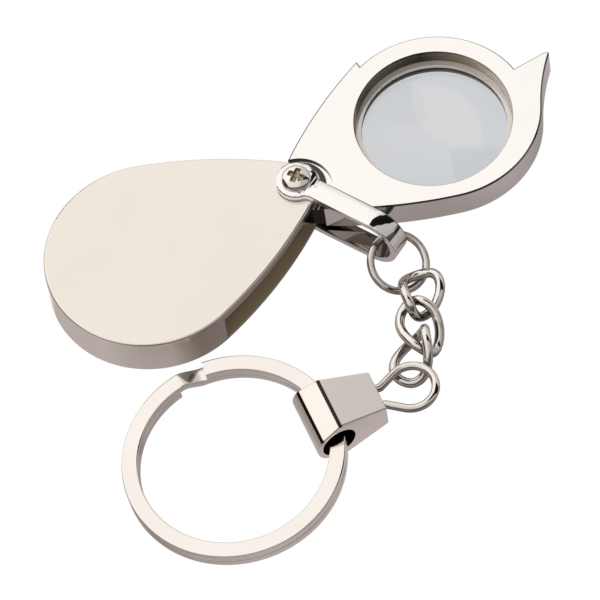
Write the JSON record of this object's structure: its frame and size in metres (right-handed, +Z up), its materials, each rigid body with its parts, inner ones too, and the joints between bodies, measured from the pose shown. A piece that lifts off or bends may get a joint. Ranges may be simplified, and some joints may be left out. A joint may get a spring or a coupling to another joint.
{
  "type": "hand lens",
  "caption": "Folding pocket hand lens: leaf-shaped lens frame that turns out of a teardrop metal case, with a short chain and a split key ring.",
  "frame": {"origin": "under the middle of the whole object as it lies, on the surface it lies on", "axes": "+Z up from that surface; +X from the case's far end through the pivot towards the opened lens; the chain and key ring lie on the -Y side"},
  "size_m": [0.0804, 0.0606, 0.0097],
  "materials": {
    "case_nickel": "satin nickel plate",
    "frame_nickel": "polished nickel plate",
    "chain_nickel": "polished nickel plate",
    "block_nickel": "polished nickel plate",
    "ring_nickel": "polished nickel plate",
    "screw_nickel": "nickel plate",
    "washer_nylon": "natural nylon",
    "lens_glass": "clear polished"
  },
  "bodies": {
    "shackle": {"shackle": "chain_nickel", "pivot_screw": "screw_nickel"},
    "case": {"case": "case_nickel"},
    "lens_arm": {"lens_frame": "frame_nickel", "lens": "lens_glass", "lens_retaining_ring": "frame_nickel", "upper_friction_washer": "washer_nylon", "lower_friction_washer": "washer_nylon"},
    "shackle_ring": {"shackle_ring": "chain_nickel"},
    "link_1": {"chain_link_1": "chain_nickel"},
    "link_2": {"chain_link_2": "chain_nickel"},
    "link_3": {"chain_link_3": "chain_nickel"},
    "connector": {"end_loop": "chain_nickel", "connector_block": "block_nickel"},
    "split_ring": {"split_ring": "ring_nickel"}
  },
  "joints": [
    {"name": "case_turn", "type": "hinge", "parent": "shackle", "child": "case", "pos_m": [0.00054, 0.016, 0.00426], "axis": [0, 0, 1], "range_deg": [-176.1, 4]},
    {"name": "lens_turn", "type": "hinge", "parent": "shackle", "child": "lens_arm", "pos_m": [0.00054, 0.016, 0.00426], "axis": [0, 0, 1], "range_deg": [-6, 176.1]},
    {"name": "shackle_ring_swing", "type": "hinge", "parent": "shackle", "child": "shackle_ring", "pos_m": [0.00624, 0.0039, 0.0043], "axis": [0.8616, 0.5075, 0], "range_deg": [-60, 60]},
    {"name": "link_1_swing", "type": "hinge", "parent": "shackle_ring", "child": "link_1", "pos_m": [0.00972, -0.00187, 0.00059], "axis": [0.8415, 0.5279, 0.1146], "range_deg": [-30, 60]},
    {"name": "link_2_swing", "type": "hinge", "parent": "link_1", "child": "link_2", "pos_m": [0.00766, -0.00788, 0.00199], "axis": [0.9283, 0.3424, -0.145], "range_deg": [-45, 15]},
    {"name": "link_3_swing", "type": "hinge", "parent": "link_2", "child": "link_3", "pos_m": [0.00415, -0.0131, 0.00294], "axis": [0.5645, -0.5577, -0.6085], "range_deg": [-45, 4]},
    {"name": "connector_swing", "type": "hinge", "parent": "link_3", "child": "connector", "pos_m": [0.00359, -0.01545, 0.00273], "axis": [0.5127, 0.5064, 0.6933], "range_deg": [-20, 60]},
    {"name": "split_ring_swing", "type": "hinge", "parent": "connector", "child": "split_ring", "pos_m": [-0.01186, -0.01655, 0.00365], "axis": [0.0698, 0.9976, 0], "range_deg": [-75, 75]}
  ]
}
